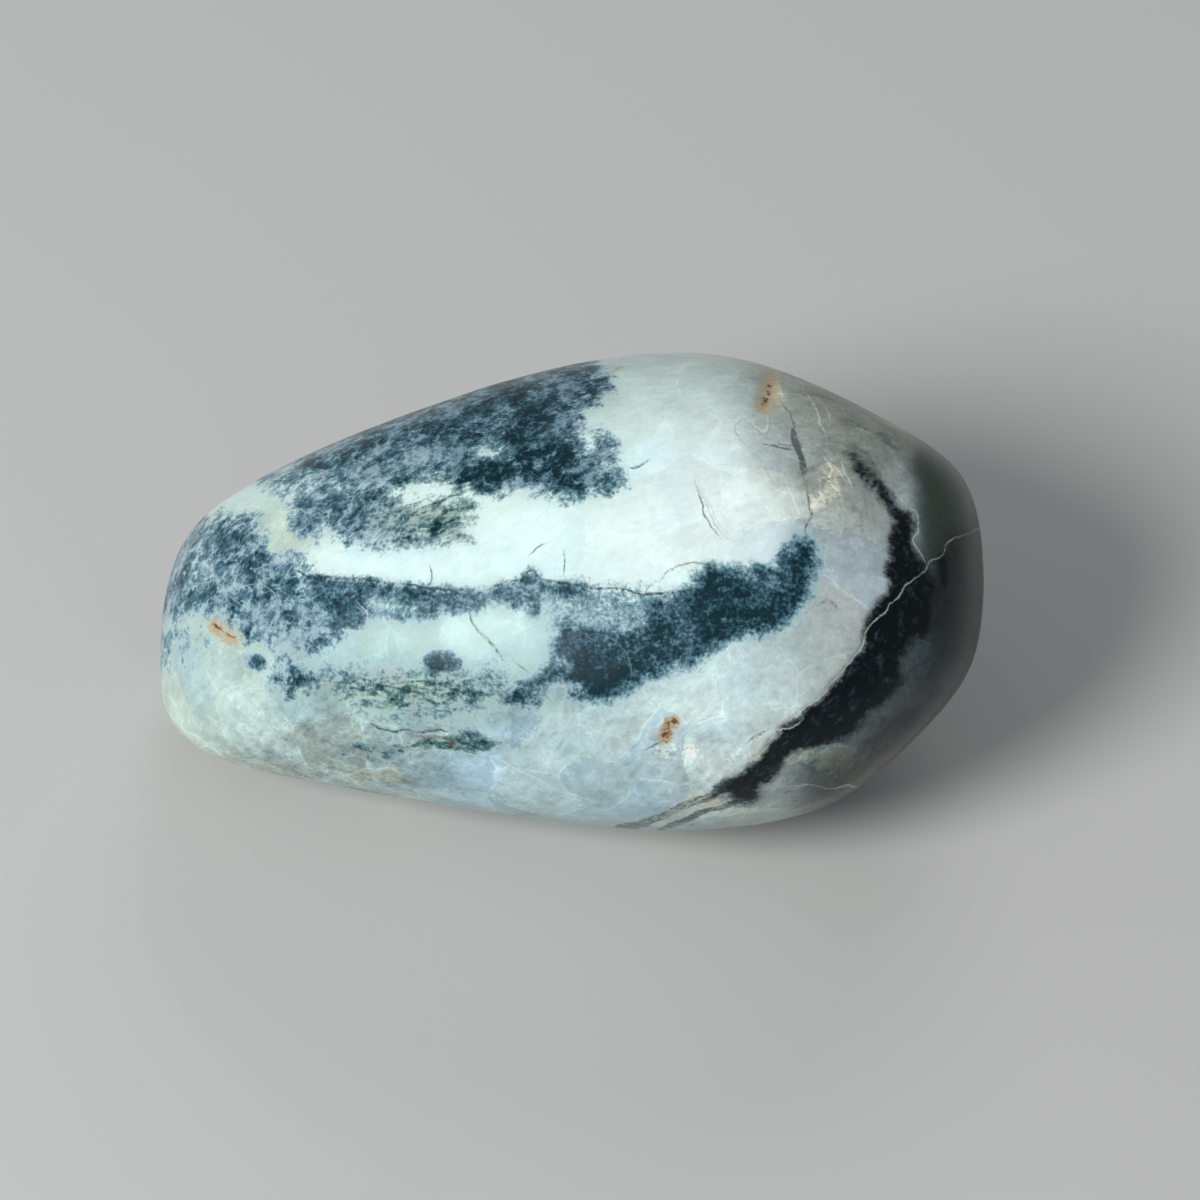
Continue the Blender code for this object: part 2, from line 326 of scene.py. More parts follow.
# Grooves and pits in the skin: depth in mm, half width in mm, and the path
GROOVES = {
    "upper pit": (0.35, 0.9, [(24.5, 25), (24.2, 23.6), (23.8, 22.3)]),
    "lower pit": (0.35, 0.9, [(13, -16), (12.4, -17.4), (11.4, -18.5)]),
    "end pit": (0.25, 0.8, [(-42.6, -4.8), (-41.6, -5.6), (-40.5, -6.3)]),
    "wide crack": (0.16, 0.5, [(27.2, 19.2), (27.6, 17.6), (28.1, 16), (28.6, 14)]),
    "lower crack": (0.12, 0.5, [(-24, -16.2), (-21.5, -17.2), (-17, -17.2), (-14.8, -17.2)]),
}

# The pale ground: across, up, radii, colour, and how lively its grain is
GROUND = {
    "mint middle": (-8, 7, 22, 6, (0.78, 0.97, 0.95), 0.35),
    "mint right": (16, 10, 9, 8, (0.86, 0.99, 0.99), 0.5),
    "mint above": (8, 18, 7, 5, (0.75, 0.97, 0.96), 0.5),
    "top": (14, 25, 12, 5, (0.63, 0.75, 0.69), 0.6),
    "top right": (28, 22, 6, 7, (0.19, 0.20, 0.175), 1.8),
    "crumbly strip": (32, 13, 4, 5, (0.27, 0.275, 0.235), 1.8),
    "lilac strip": (33, 2, 4, 8, (0.46, 0.53, 0.55), 0.9),
    "lower right": (20, -13, 10, 5, (0.60, 0.765, 0.805), 1.0),
    "beside the black band": (28, -10, 5, 5, (0.44, 0.52, 0.51), 0.9),
    "low middle": (2, -22, 10, 5, (0.42, 0.58, 0.65), 1.1),
    "low right": (16, -21, 8, 4, (0.56, 0.62, 0.57), 1.6),
    "narrow end": (-42, -13, 8, 5, (0.50, 0.63, 0.59), 0.9),
    "low left": (-28, -19, 8, 4, (0.35, 0.43, 0.41), 2.5),
    "pale lens": (-14, -6, 13, 4, (0.43, 0.59, 0.57), 0.7),
    # Painted shade: the three rim colours below are darker than the rim's own dark grey-green,
    # standing in for the wide end turning away from the key light
    "right rim": (49, 4, 3.5, 14, (0.022, 0.024, 0.022), 2.0),
    "lower right rim": (42, -16, 8, 7, (0.040, 0.041, 0.037), 1.9),
    "low right rim": (36, -24, 5, 4, (0.07, 0.064, 0.058), 1.9),
    "green patch": (31, -20.8, 3, 1.6, (0.085, 0.12, 0.115), 2.0),
    "blue patch": (43, -8.6, 1.8, 2.6, (0.045, 0.065, 0.075), 1.8),
    "cream spot": (-35.2, 7.0, 3.4, 2.6, (0.58, 0.69, 0.54), 0.8),
    "underside": (0, -40, 30, 8, (0.36, 0.44, 0.41), 1.0),
    "green ground": (-20, -12.8, 11, 2.2, (0.37, 0.50, 0.46), 1.0),
}
# The two grounds that the hidden side wanders between: colour and liveliness
BACK_GROUND = [(0.60, 0.76, 0.73, 0.9), (0.27, 0.34, 0.31, 1.3)]

# Laying the markings out on the stone

PATH_STEPS = 5  # straight pieces between two points of a path
FAR = 50.0  # stands for a line that is too far away to matter, in mm
LINE_REACH = 6.0  # how far from a line its distance is still told apart, in mm
LINE_CLEARANCE = 2.5  # lines of one layer keep this far apart, in mm
LINE_TAPER = 0.08  # how much narrower a line is at its ends, in mm
TAPER_LENGTH = 1.6  # over how much of its length it narrows, in mm
EDGE_REACH = 4.0  # how far from an outline its edge is still told apart, in edge widths
ISLAND_EDGE = 0.8  # half of a pale island's soft edge, in edge widths
NO_RUST = 9.0  # how far below its edge the rust is sunk where there is none

# Where the hidden side begins and where it is whole, by how far the skin faces away
HIDDEN_FROM, HIDDEN_WHOLE = -0.05, 0.6
# How far the layers wander on the hidden side, and how wide the bends are, in mm
WANDER_ACROSS = (9.0, 26)
WANDER_UP = (6.0, 22)
SHIVER = (0.16, 2.4)  # the same for the small bends of every edge

GROUND_SPREAD = 1.1  # how much wider than their radii the spots of the pale ground are
BACK_SHARE = 0.85  # how much of the hidden side's ground is its own
BACK_CLOUDS = 20  # how wide the hidden side's clouds are, in mm
BACK_EDGE = (-0.7, 0.9)  # how softly its two grounds change over

PATCH_PULL = 2.0  # how strongly a slate patch keeps its own tone against its neighbours
LEAST_WEIGHT = 1e-6  # keeps places that no patch reaches from dividing by nothing
GROUND_WEIGHT = 1e-5  # how much every spot of the pale ground counts everywhere
WAVE_COUNT = 14
WAVE_RATES = (0.6, 1.5)  # how much slower and quicker the waves of a field are than its size says
SHORTEST = 1e-9  # straight pieces of a path shorter than this are left out, in mm


def smooth_path(points, closed):
    """The points of a smooth curve through these ones."""
    given = np.array(points, float)
    if closed:
        before, after = np.roll(given, 1, 0), np.roll(given, -1, 0)
        beyond = np.roll(given, -2, 0)
        starts = range(len(given))
    else:
        before = np.vstack([2 * given[0] - given[1], given[:-1]])
        after = np.vstack([given[1:], given[-1:]])
        beyond = np.vstack([given[2:], 2 * given[-1] - given[-2], given[-1:]])
        starts = range(len(given) - 1)
    curve = []
    for i in starts:
        for step in range(PATH_STEPS):
            t = step / PATH_STEPS
            curve.append(0.5 * (
                2 * given[i]
                + (after[i] - before[i]) * t
                + (2 * before[i] - 5 * given[i] + 4 * after[i] - beyond[i]) * t * t
                + (3 * given[i] - before[i] - 3 * after[i] + beyond[i]) * t * t * t
            ))
    curve.append(given[0] if closed else given[-1])
    return np.array(curve)


def distance_to_path(places, curve):
    """For each place its distance to the curve, the side it is on (1 or -1) and how far along the
    curve it is. The last result is the curve's whole length."""
    nearest = np.full(len(places), FAR)
    side = np.ones(len(places))
    along = np.zeros(len(places))
    lengths = np.linalg.norm(np.diff(curve, axis=0), axis=1)
    travelled = np.concatenate([[0], np.cumsum(lengths)])
    for i, length in enumerate(lengths):
        if length < SHORTEST:
            continue
        way = (curve[i + 1] - curve[i]) / length
        offset = places - curve[i]
        t = np.clip(offset @ way, 0, length)
        gap = np.hypot(offset[:, 0] - t * way[0], offset[:, 1] - t * way[1])
        closer = gap < nearest
        nearest[closer] = gap[closer]
        cross = way[0] * offset[closer, 1] - way[1] * offset[closer, 0]
        side[closer] = np.where(cross < 0, -1.0, 1.0)
        along[closer] = travelled[i] + t[closer]
    return nearest, side, along, travelled[-1]


def distance_to_line(places, points):
    """How far each place is from the smooth line through these points."""
    return distance_to_path(places, smooth_path(points, closed=False))[0]


def inside(places, curve):
    """Which places lie inside the closed curve."""
    found = np.zeros(len(places), bool)
    x, y = places[:, 0], places[:, 1]
    for (x0, y0), (x1, y1) in zip(curve[:-1], curve[1:]):
        if y0 == y1:
            continue
        crosses = (y0 > y) != (y1 > y)
        found ^= crosses & (x < (x1 - x0) * (y - y0) / (y1 - y0) + x0)
    return found


def depth_in_outline(places, points, width):
    """How far each place lies inside an outline, in edge widths, and below 0 outside it."""
    curve = smooth_path(points, closed=True)
    nearest = distance_to_path(places, curve)[0]
    return np.where(inside(places, curve), nearest, -nearest) / width


def depth_in_band(places, outlines):
    """How far each place lies inside the nearest of these outlines, in edge widths."""
    depth = np.full(len(places), -EDGE_REACH)
    for width, points in outlines.values():
        here = np.clip(depth_in_outline(places, points, width), -EDGE_REACH, EDGE_REACH)
        depth = np.maximum(depth, here)
    return depth


def eased(value, low, high):
    """0 below low, 1 above high, eased between."""
    t = np.clip((value - low) / (high - low), 0, 1)
    return t * t * (3 - 2 * t)


def waves(points, size, seed):
    """A smooth random field of about -1 to 1 over the points, with bumps of this size."""
    rng = np.random.default_rng(seed)
    total = np.zeros(len(points))
    for _ in range(WAVE_COUNT):
        way = rng.normal(size=3)
        way *= rng.uniform(*WAVE_RATES) * math.pi / (size * np.linalg.norm(way))
        total += np.sin(points @ way + rng.uniform(0, 2 * math.pi))
    return total / math.sqrt(WAVE_COUNT)


def hidden_share(normals):
    """How far each point faces away from the eye, from 0 in sight to 1 on the hidden side."""
    return eased(-(normals @ np.array(OUT)), HIDDEN_FROM, HIDDEN_WHOLE)


def sheet_places(points, hidden, seed):
    """Where each point, in mm from the middle, lies on the sheet that the markings are drawn on.
    On the hidden side the layers wander, as layers do that run through a stone."""
    across, up, out = (points @ np.array(way) for way in (ACROSS, UP, OUT))
    grow = EYE_DISTANCE / (EYE_DISTANCE - out)
    across = (across - EYE_ACROSS) * grow + EYE_ACROSS
    up = (up - EYE_UP) * grow + EYE_UP
    shiver, shiver_size = SHIVER
    for value, (wander, size), start in ((across, WANDER_ACROSS, seed), (up, WANDER_UP, seed + 2)):
        value += hidden * wander * waves(points, size, start)
        value += shiver * waves(points, shiver_size, start + 1)
    return np.column_stack([across, up])


def spot(places, across, up, radius_across, radius_up):
    """A soft round spot, 1 in its middle."""
    return np.exp(-((places[:, 0] - across) / radius_across) ** 2
                  - ((places[:, 1] - up) / radius_up) ** 2)


def strongest_spot(places, spots):
    """The strongest of these spots at each place."""
    strongest = np.zeros(len(places))
    for across, up, radius_across, radius_up in spots.values():
        strongest = np.maximum(strongest, spot(places, across, up, radius_across, radius_up))
    return strongest


def lay_slate(places):
    """Edge (in edge widths, above 0 inside), tone and coarseness of the slate at each place."""
    edge = np.full(len(places), -EDGE_REACH)
    weights = np.full(len(places), LEAST_WEIGHT)
    tones = np.zeros(len(places))
    coarse = np.zeros(len(places))
    for tone, width, mottle, points in SLATE.values():
        depth = np.clip(depth_in_outline(places, points, width), -EDGE_REACH, EDGE_REACH)
        edge = np.maximum(edge, depth)
        weight = np.exp(PATCH_PULL * depth)
        weights += weight
        tones += weight * tone
        coarse += weight * mottle
    tones /= weights
    coarse /= weights
    for across, up, radius_across, radius_up, more in SLATE_DEPTHS.values():
        tones += more * spot(places, across, up, radius_across, radius_up)
    for clears, width, points in PALE_ISLANDS.values():
        island = eased(depth_in_outline(places, points, width), -ISLAND_EDGE, ISLAND_EDGE)
        tones *= 1 - clears * island
    return np.column_stack([edge, tones, coarse])


def lay_black(places):
    """Edge of the black band, edge of the green rim, and how crumbly the ground is."""
    return np.column_stack([
        depth_in_band(places, BLACK), depth_in_band(places, GREEN), strongest_spot(places, CRUMBS)])


def share_out_lines(lines):
    """Sorts lines into groups in which no two run close together, so that each keeps its sides."""
    groups = []
    for width, points in lines.values():
        curve = smooth_path(points, closed=False)
        for group in groups:
            gaps = [np.linalg.norm(curve[:, None] - other[None], axis=2).min()
                    for _width, other in group]
            if min(gaps) > LINE_CLEARANCE:
                group.append((width, curve))
                break
        else:
            groups.append([(width, curve)])
    return groups


def lay_lines(places, group):
    """Signed distance, half width and plain distance of the nearest line of a group."""
    nearest = np.full(len(places), FAR)
    signed = np.full(len(places), FAR)
    widths = np.zeros(len(places))
    for width, curve in group:
        gap, side, along, whole = distance_to_path(places, curve)
        ends = np.clip(np.minimum(along, whole - along) / min(TAPER_LENGTH, whole / 3), 0, 1)
        closer = gap < nearest
        nearest[closer] = gap[closer]
        signed[closer] = (gap * side)[closer]
        widths[closer] = (width - LINE_TAPER * (1 - np.sqrt(ends)))[closer]
    reach = np.clip(nearest, 0, LINE_REACH)
    return np.column_stack([np.clip(signed, -LINE_REACH, LINE_REACH), widths, reach])


def lay_rust(places, hidden):
    """Core and halo of the rust, and how streaky the slate is."""
    core = np.full(len(places), -NO_RUST)
    halo = np.zeros(len(places))
    for core_width, halo_width, points in RUST.values():
        gap = distance_to_line(places, points)
        core = np.maximum(core, 1 - gap / core_width)
        halo = np.maximum(halo, np.exp(-(gap / halo_width) ** 2))
    return np.column_stack([
        core - NO_RUST * hidden, halo * (1 - hidden), strongest_spot(places, STREAKY)])


def groove_depths(places):
    """How deep the skin is grooved at each place, in metres."""
    deep = np.zeros(len(places))
    for depth, width, points in GROOVES.values():
        gap = distance_to_line(places, points)
        deep = np.maximum(deep, depth * MM * np.exp(-(gap / width) ** 2))
    return deep


def ground_colours(points, places, hidden, seed):
    """The pale ground's colour at each place, with its liveliness as a fourth number."""
    total = np.zeros((len(places), 4))
    weights = np.zeros(len(places))
    for across, up, radius_across, radius_up, colour, lively in GROUND.values():
        weight = spot(places, across, up, radius_across * GROUND_SPREAD, radius_up * GROUND_SPREAD)
        weight += GROUND_WEIGHT
        total += weight[:, None] * np.array([*colour, lively])
        weights += weight
    front = total / weights[:, None]
    share = eased(waves(points, BACK_CLOUDS, seed + 4), *BACK_EDGE)[:, None]
    back = np.array(BACK_GROUND[0]) * share + np.array(BACK_GROUND[1]) * (1 - share)
    return front + (back - front) * (BACK_SHARE * hidden)[:, None]


def write_layer(mesh, name, kind, field, values):
    """Writes one value, vector or colour for each vertex onto the mesh."""
    layer = mesh.attributes.new(name, kind, "POINT")
    layer.data.foreach_set(field, np.ascontiguousarray(values, np.float32).ravel())


def vertex_table(mesh, field):
    """One row of three numbers for each vertex."""
    values = np.empty(len(mesh.vertices) * 3, np.float32)
    mesh.vertices.foreach_get(field, values)
    return values.reshape(-1, 3).astype(float)


def lay_markings(mesh, seed):
    """Writes every marking onto the mesh, and returns the names of the line layers."""
    points = (vertex_table(mesh, "co") - np.array(MIDDLE)) / MM
    hidden = hidden_share(vertex_table(mesh, "normal"))
    places = sheet_places(points, hidden, seed)
    write_layer(mesh, "groove", "FLOAT", "value", groove_depths(places))
    write_layer(mesh, "slate", "FLOAT_VECTOR", "vector", lay_slate(places))
    write_layer(mesh, "black", "FLOAT_VECTOR", "vector", lay_black(places))
    write_layer(mesh, "rust", "FLOAT_VECTOR", "vector", lay_rust(places, hidden))
    colours = ground_colours(points, places, hidden, seed)
    write_layer(mesh, "ground", "FLOAT_COLOR", "color", colours)
    layers = {}
    for kind, lines in (("dark", DARK_LINES), ("brown", BROWN_LINES), ("pale", PALE_LINES)):
        layers[kind] = []
        for number, group in enumerate(share_out_lines(lines)):
            name = f"{kind}_lines_{number + 1}"
            write_layer(mesh, name, "FLOAT_VECTOR", "vector", lay_lines(places, group))
            layers[kind].append(name)
    return layers


# Building nodes


class Tree:
    """Builds the nodes of a tree, from plain words to sockets."""

    def node(self, kind, **settings):
        made = self.tree.nodes.new(kind)
        for name, value in settings.items():
            setattr(made, name, value)
        return made

    def feed(self, socket, value):
        if isinstance(value, bpy.types.NodeSocket):
            self.tree.links.new(value, socket)
        else:
            socket.default_value = value

    def feed_named(self, node, **values):
        """Feeds inputs by their names, in which an underscore stands for a space."""
        for name, value in values.items():
            self.feed(node.inputs[name.replace("_", " ")], value)

    def math(self, operation, first, second=0.0, third=0.0, clamp=False):
        made = self.node("ShaderNodeMath", operation=operation, use_clamp=clamp)
        for socket, value in zip(made.inputs, (first, second, third)):
            self.feed(socket, value)
        return made.outputs[0]

    def times(self, first, second, clamp=False):
        return self.math("MULTIPLY", first, second, clamp=clamp)

    def blend(self, *parts, base=0.0):
        """The base plus each value times its weight."""
        total = base
        for value, weight in parts:
            total = self.math("MULTIPLY_ADD", value, weight, total)
        return total

    def vector(self, operation, first, second=None, scale=None):
        made = self.node("ShaderNodeVectorMath", operation=operation)
        self.feed(made.inputs[0], first)
        if second is not None:
            self.feed(made.inputs[1], second)
        if scale is not None:
            self.feed(made.inputs["Scale"], scale)
        return made.outputs[0]


# The polish

PLAIN = (1, 1, 1, 1)  # leaves a colour as it is
COOL_CRYSTAL = (0.84, 0.94, 1.02, 1)
WARM_CRYSTAL = (1.07, 1.02, 0.90, 1)
# Slate from pale to dark, and how the patches of it differ
SLATE_TONES = [
    (0.0, (0.58, 0.73, 0.72)), (0.22, (0.34, 0.50, 0.53)), (0.42, (0.155, 0.27, 0.32)),
    (0.62, (0.055, 0.128, 0.168)), (0.84, (0.012, 0.046, 0.064)), (1.0, (0.003, 0.020, 0.028)),
]
SLATE_TINTS = ((1.05, 0.985, 1.04, 1), (0.94, 1.01, 1.0, 1))
MOSSY_TINT = (1.12, 1.02, 0.82)
# What the pale ground is darkened by close to the slate
BESIDE_SLATE = (0.42, 0.56, 0.58, 1)
# The deep and the pale colour of the green rim, and of the black band
MOSSES = ((0.020, 0.036, 0.024, 1), (0.075, 0.105, 0.080, 1))
INKS = ((0.0022, 0.0038, 0.0052, 1), (0.030, 0.046, 0.062, 1))
# Soft edges: the values at which each one begins and is whole
EDGES = {
    "seam": (0.024, 0.002),
    "hair": (0.022, 0.003),
    "clear seam": (-0.10, 0.10),
    "slate": (-2.1, 1.7),
    "lace": (0.036, 0.006),
    "slate tint": (-0.2, 0.2),
    "near slate": (-4.2, 0.6),
    "slate over ground": (0.02, 0.26),
    "green rim": (-1.4, 1.4),
    "black band": (-0.8, 0.8),
    "fleck": (0.0, 0.34),
    "clear line": (-0.20, 0.12),
    "crumb": (0.35, 0.85),
    "stain": (0.25, 1.0),
    "rust edge": (-0.3, 0.7),
    "rust core": (0.35, 1.0),
    "line": (-0.10, 0.10),  # in mm
    "round a line": (0.75, 0.35),
}
# Lines: colour, how much they cover where they are faintest, and how much more where clearest
LINE_LOOKS = {
    "dark": ((0.020, 0.034, 0.040, 1), 0.252, 0.588),
    "brown": ((0.13, 0.075, 0.055, 1), 0.0, 0.6),
    "pale": ((0.70, 0.77, 0.69, 1), 0.2, 0.5),
}
# How much paler the crumbs are than the ground under them, and how pale they get at most
CHALK_GAIN = (1.5, 1.42, 1.28)
CHALK_MOST = (0.92, 0.93, 0.84)
# The halo, the edge and the core of the rust
OCHRE = (0.53, 0.39, 0.19, 1)
ORANGE_RUST = (0.40, 0.235, 0.105, 1)
BROWN_RUST = (0.12, 0.055, 0.026, 1)
POLISH_TINT = (0.72, 0.94, 1.0, 1)
JADE_IOR = 1.6
RELIEF_HEIGHT = 0.02 * MM  # of the polish's fine unevenness
RELIEF_STRENGTH = 0.7


class Bench(Tree):
    """Builds a material's nodes."""

    def __init__(self, material):
        material.use_nodes = True
        self.tree = material.node_tree
        self.tree.nodes.clear()
        place = self.node("ShaderNodeTexCoord").outputs["Object"]
        self.place = self.vector("SCALE", place, scale=1 / MM)

    def parts(self, vector):
        made = self.node("ShaderNodeSeparateXYZ")
        self.feed(made.inputs[0], vector)
        return made.outputs["X"], made.outputs["Y"], made.outputs["Z"]

    def layer(self, name):
        """The three numbers of a marking's layer."""
        return self.parts(self.node("ShaderNodeAttribute", attribute_name=name).outputs["Vector"])

    def noise(self, size, detail, rough, warp=0.0, place=None, shift=0.0):
        """Cloudy noise from about -0.5 to 0.5, with clouds of this size in mm."""
        made = self.node("ShaderNodeTexNoise")
        moved = self.vector("ADD", place or self.place, (shift, 1.7 * shift, -shift))
        self.feed_named(made, Vector=moved, Scale=1 / size, Detail=detail)
        self.feed_named(made, Roughness=rough, Distortion=warp)
        return self.math("SUBTRACT", made.outputs["Fac"], 0.5)

    def drift(self, amount, size):
        """The place, moved about by noise, so that a pattern read from it wanders."""
        made = self.node("ShaderNodeTexNoise")
        self.feed_named(made, Vector=self.place, Scale=1 / size, Detail=1.0)
        centred = self.vector("SUBTRACT", made.outputs["Color"], (0.5, 0.5, 0.5))
        return self.vector("ADD", self.place, self.vector("SCALE", centred, scale=amount))

    def stretch(self, place, length, turn):
        """The place, turned about Y and drawn out, for patterns that run along one way."""
        made = self.node("ShaderNodeMapping", vector_type="TEXTURE")
        self.feed_named(made, Vector=place, Rotation=(0.0, turn, 0.0), Scale=(length, 1.0, 1.0))
        return made.outputs["Vector"]

    def step(self, value, edge):
        """0 before the soft edge of this name, 1 past it, and eased between."""
        low, high = EDGES[edge]
        made = self.node("ShaderNodeMapRange", interpolation_type="SMOOTHSTEP")
        self.feed_named(made, Value=value, From_Min=low, From_Max=high)
        return made.outputs["Result"]

    def mix(self, share, first, second):
        made = self.node("ShaderNodeMix", data_type="RGBA")
        sockets = (made.inputs[0], made.inputs[6], made.inputs[7])
        for socket, value in zip(sockets, (share, first, second)):
            self.feed(socket, value)
        return made.outputs[2]

    def ramp(self, value, stops):
        made = self.node("ShaderNodeValToRGB")
        self.feed(made.inputs["Fac"], value)
        elements = made.color_ramp.elements
        while len(elements) < len(stops):
            elements.new(0.5)
        for element, (place, colour) in zip(elements, stops):
            element.position = place
            element.color = (*colour, 1.0)
        return made.outputs["Color"]


def line_cover(bench, names, wobble):
    """How much of the surface the lines of these layers cover."""
    cover = 0.0
    for name in names:
        signed, width, plain = bench.layer(name)
        gap = bench.math("ABSOLUTE", bench.math("ADD", signed, wobble))
        here = bench.step(bench.math("SUBTRACT", width, gap), "line")
        close = bench.step(bench.math("SUBTRACT", plain, width), "round a line")
        cover = bench.math("MAXIMUM", bench.times(here, close), cover)
    return cover


def pebble_material(settings, layers):
    """Waxy jade: a pale ground of felted crystals, slate mottling, veins and rust."""
    material = bpy.data.materials.new("worn jadeite")
    bench = Bench(material)
    blend, times, step, mix = bench.blend, bench.times, bench.step, bench.mix

    # Noise that the markings share, its sizes in mm
    grit = bench.noise(size=0.45, detail=2.0, rough=0.7)
    blotch = bench.noise(size=1.5, detail=3.0, rough=0.62, shift=31)
    cloud = bench.noise(size=4.5, detail=3.0, rough=0.55, shift=57)
    lace = bench.math("ABSOLUTE", bench.noise(size=2.6, detail=2.5, rough=0.6, warp=0.15, shift=83))
    drifted = bench.drift(amount=2.6, size=5.0)
    level = bench.stretch(drifted, length=5.0, turn=-0.12)
    streak = bench.noise(size=0.8, detail=2.0, rough=0.6, shift=11, place=level)
    steep = bench.stretch(drifted, length=6.0, turn=-0.95)
    slant = bench.noise(size=0.7, detail=2.0, rough=0.65, shift=5, place=steep)
    felt = blend((slant, 0.9), (streak, 0.5), (grit, 0.5), base=blotch)

    # The layers that the markings are laid out in
    slate_edge, tone, coarse = bench.layer("slate")
    band, green, crumbly = bench.layer("black")
    core, halo, streaky = bench.layer("rust")
    ground = bench.node("ShaderNodeAttribute", attribute_name="ground")
    lively = ground.outputs["Alpha"]

    # The pale ground: clouds, crystals of slightly different colours, hair veins, felted grain
    crystals = bench.node("ShaderNodeTexVoronoi", feature="F1")
    seams = bench.node("ShaderNodeTexVoronoi", feature="DISTANCE_TO_EDGE")
    frayed = bench.vector("ADD", drifted, blend((grit, 2.2), (blotch, 2.4)))
    for texture, place in ((crystals, frayed), (seams, drifted)):
        bench.feed_named(texture, Vector=place, Scale=MM / settings.crystal_size)
    cool_or_warm, deep, _third = bench.parts(crystals.outputs["Color"])
    facet = mix(cool_or_warm, COOL_CRYSTAL, WARM_CRYSTAL)
    facet = bench.vector("SCALE", facet, scale=blend((deep, 0.40), base=0.80))
    facet = mix(times(lively, 0.60, clamp=True), PLAIN, facet)
    seam = step(blend((grit, 0.03), base=seams.outputs["Distance"]), "seam")
    hair = step(lace, "hair")
    seam = bench.math("MAXIMUM", seam, times(hair, 0.75))
    seam = times(seam, step(cloud, "clear seam"))
    light = blend((felt, 0.48), (cloud, 0.70), (seam, 0.22))
    facet = bench.vector("SCALE", facet, scale=blend((light, lively), base=1.0))
    colour = bench.vector("MULTIPLY", ground.outputs["Color"], facet)

    # How far the slate reaches: its edge frays, most of all where it is coarse
    loose = blend((grit, 1.8), (blotch, 4.0))
    loose = times(loose, blend((coarse, 0.55), base=0.5))
    loose = times(loose, blend((streaky, -0.6), base=1.0))
    loose = blend((times(streak, 5.0), streaky), base=loose)
    cover = step(bench.math("ADD", slate_edge, loose), "slate")

    # How deep its tone is: it breaks up into blotches, lace, streaks or fine grains
    lacy = times(step(lace, "lace"), coarse)
    grain = blend(
        (grit, blend((coarse, -0.9), base=2.1)),
        (blotch, blend((coarse, 1.8), base=0.6)),
        (cloud, blend((coarse, 1.5), base=0.8)),
        (times(streak, 2.2), streaky),
    )
    depth = blend((grain, blend((tone, 0.4), base=0.42)), (lacy, -0.28), base=tone)
    least = blend((tone, 0.54), (bench.math("ADD", grit, blotch), 0.32))
    depth = times(bench.math("MAXIMUM", depth, least), cover, clamp=True)
    slate = bench.ramp(depth, SLATE_TONES)
    slate = bench.vector("MULTIPLY", slate, mix(step(cloud, "slate tint"), *SLATE_TINTS))
    slate = mix(streaky, slate, bench.vector("MULTIPLY", slate, MOSSY_TINT))

    # The ground darkens close to the slate, and the slate lies over it
    near = step(blend((blotch, 5.0), base=slate_edge), "near slate")
    near = times(near, times(tone, 0.42))
    shaded = bench.vector("MULTIPLY", colour, mix(near, PLAIN, BESIDE_SLATE))
    slated = mix(step(depth, "slate over ground"), shaded, slate)
    colour = bench.vector("MINIMUM", slated, bench.vector("SCALE", colour, scale=1.05))

    # The green rim and the black band
    fray = blend((grit, 1.2), (blotch, 2.4))
    greened = step(bench.math("ADD", green, fray), "green rim")
    moss = mix(bench.math("ADD", grit, 0.5), *MOSSES)
    colour = mix(times(greened, 0.9), colour, moss)
    blackened = step(bench.math("ADD", band, fray), "black band")
    fleck = step(blend((blotch, 0.8), base=slant), "fleck")
    colour = mix(blackened, colour, mix(fleck, *INKS))

    # Lines: they wobble, and they thin out in places
    wobble = blend((grit, 0.25), (blotch, 0.7))
    clear = step(bench.math("ADD", cloud, grit), "clear line")
    for kind, (line_colour, faintest, more) in LINE_LOOKS.items():
        strength = blend((clear, more), base=faintest)
        cover = times(line_cover(bench, layers[kind], wobble), strength)
        colour = mix(cover, colour, line_colour)

    # Rust and crumbs
    crumb = blend((bench.math("ADD", grit, blotch), 3.0), base=1.0)
    crumb = step(times(crumb, crumbly), "crumb")
    chalky = bench.vector("MULTIPLY", colour, CHALK_GAIN)
    colour = mix(crumb, colour, bench.vector("MINIMUM", chalky, CHALK_MOST))
    stain = blend((grit, 3.52), (felt, 2.2), base=1.0)
    stain = step(times(stain, halo), "stain")
    colour = mix(times(stain, 0.72), colour, OCHRE)
    rust = blend((grit, 2.0), (blotch, 3.4), base=core)
    colour = mix(times(step(rust, "rust edge"), 0.85), colour, ORANGE_RUST)
    rust = step(rust, "rust core")
    colour = mix(rust, colour, BROWN_RUST)

    # Micro relief and gloss
    bump = bench.node("ShaderNodeBump")
    relief = bench.noise(size=1.1, detail=3.0, rough=0.6, shift=19)
    bench.feed_named(bump, Height=relief, Distance=RELIEF_HEIGHT, Strength=RELIEF_STRENGTH)
    rough = blend((felt, 0.14), base=settings.gloss_roughness)
    rough = bench.math("MULTIPLY_ADD", bench.math("MAXIMUM", rust, crumb), 0.3, rough, clamp=True)

    shader = bench.node("ShaderNodeBsdfPrincipled")
    bench.feed_named(shader, Base_Color=colour, Roughness=rough, IOR=JADE_IOR)
    bench.feed_named(shader, Specular_IOR_Level=settings.gloss, Specular_Tint=POLISH_TINT)
    bench.feed_named(shader, Normal=bump.outputs["Normal"])
    if settings.translucency > 0:
        bench.feed_named(shader, Subsurface_Weight=settings.translucency)
        bench.feed_named(shader, Subsurface_Radius=(0.8, 1.0, 0.9))
        bench.feed_named(shader, Subsurface_Scale=settings.glow_depth)
    output = bench.node("ShaderNodeOutputMaterial")
    bench.feed_named(output, Surface=shader.outputs["BSDF"])
    return material


# The stone's shape

WELD = 0.01 * MM  # corners of the CAD mesh this close together become one
CAGE_SIZE = 1.15  # how much wider than the stone the grid is before it is drawn on
REST_MARGIN = 4 * MM  # over this height above the ground the ripples and dimples fade in


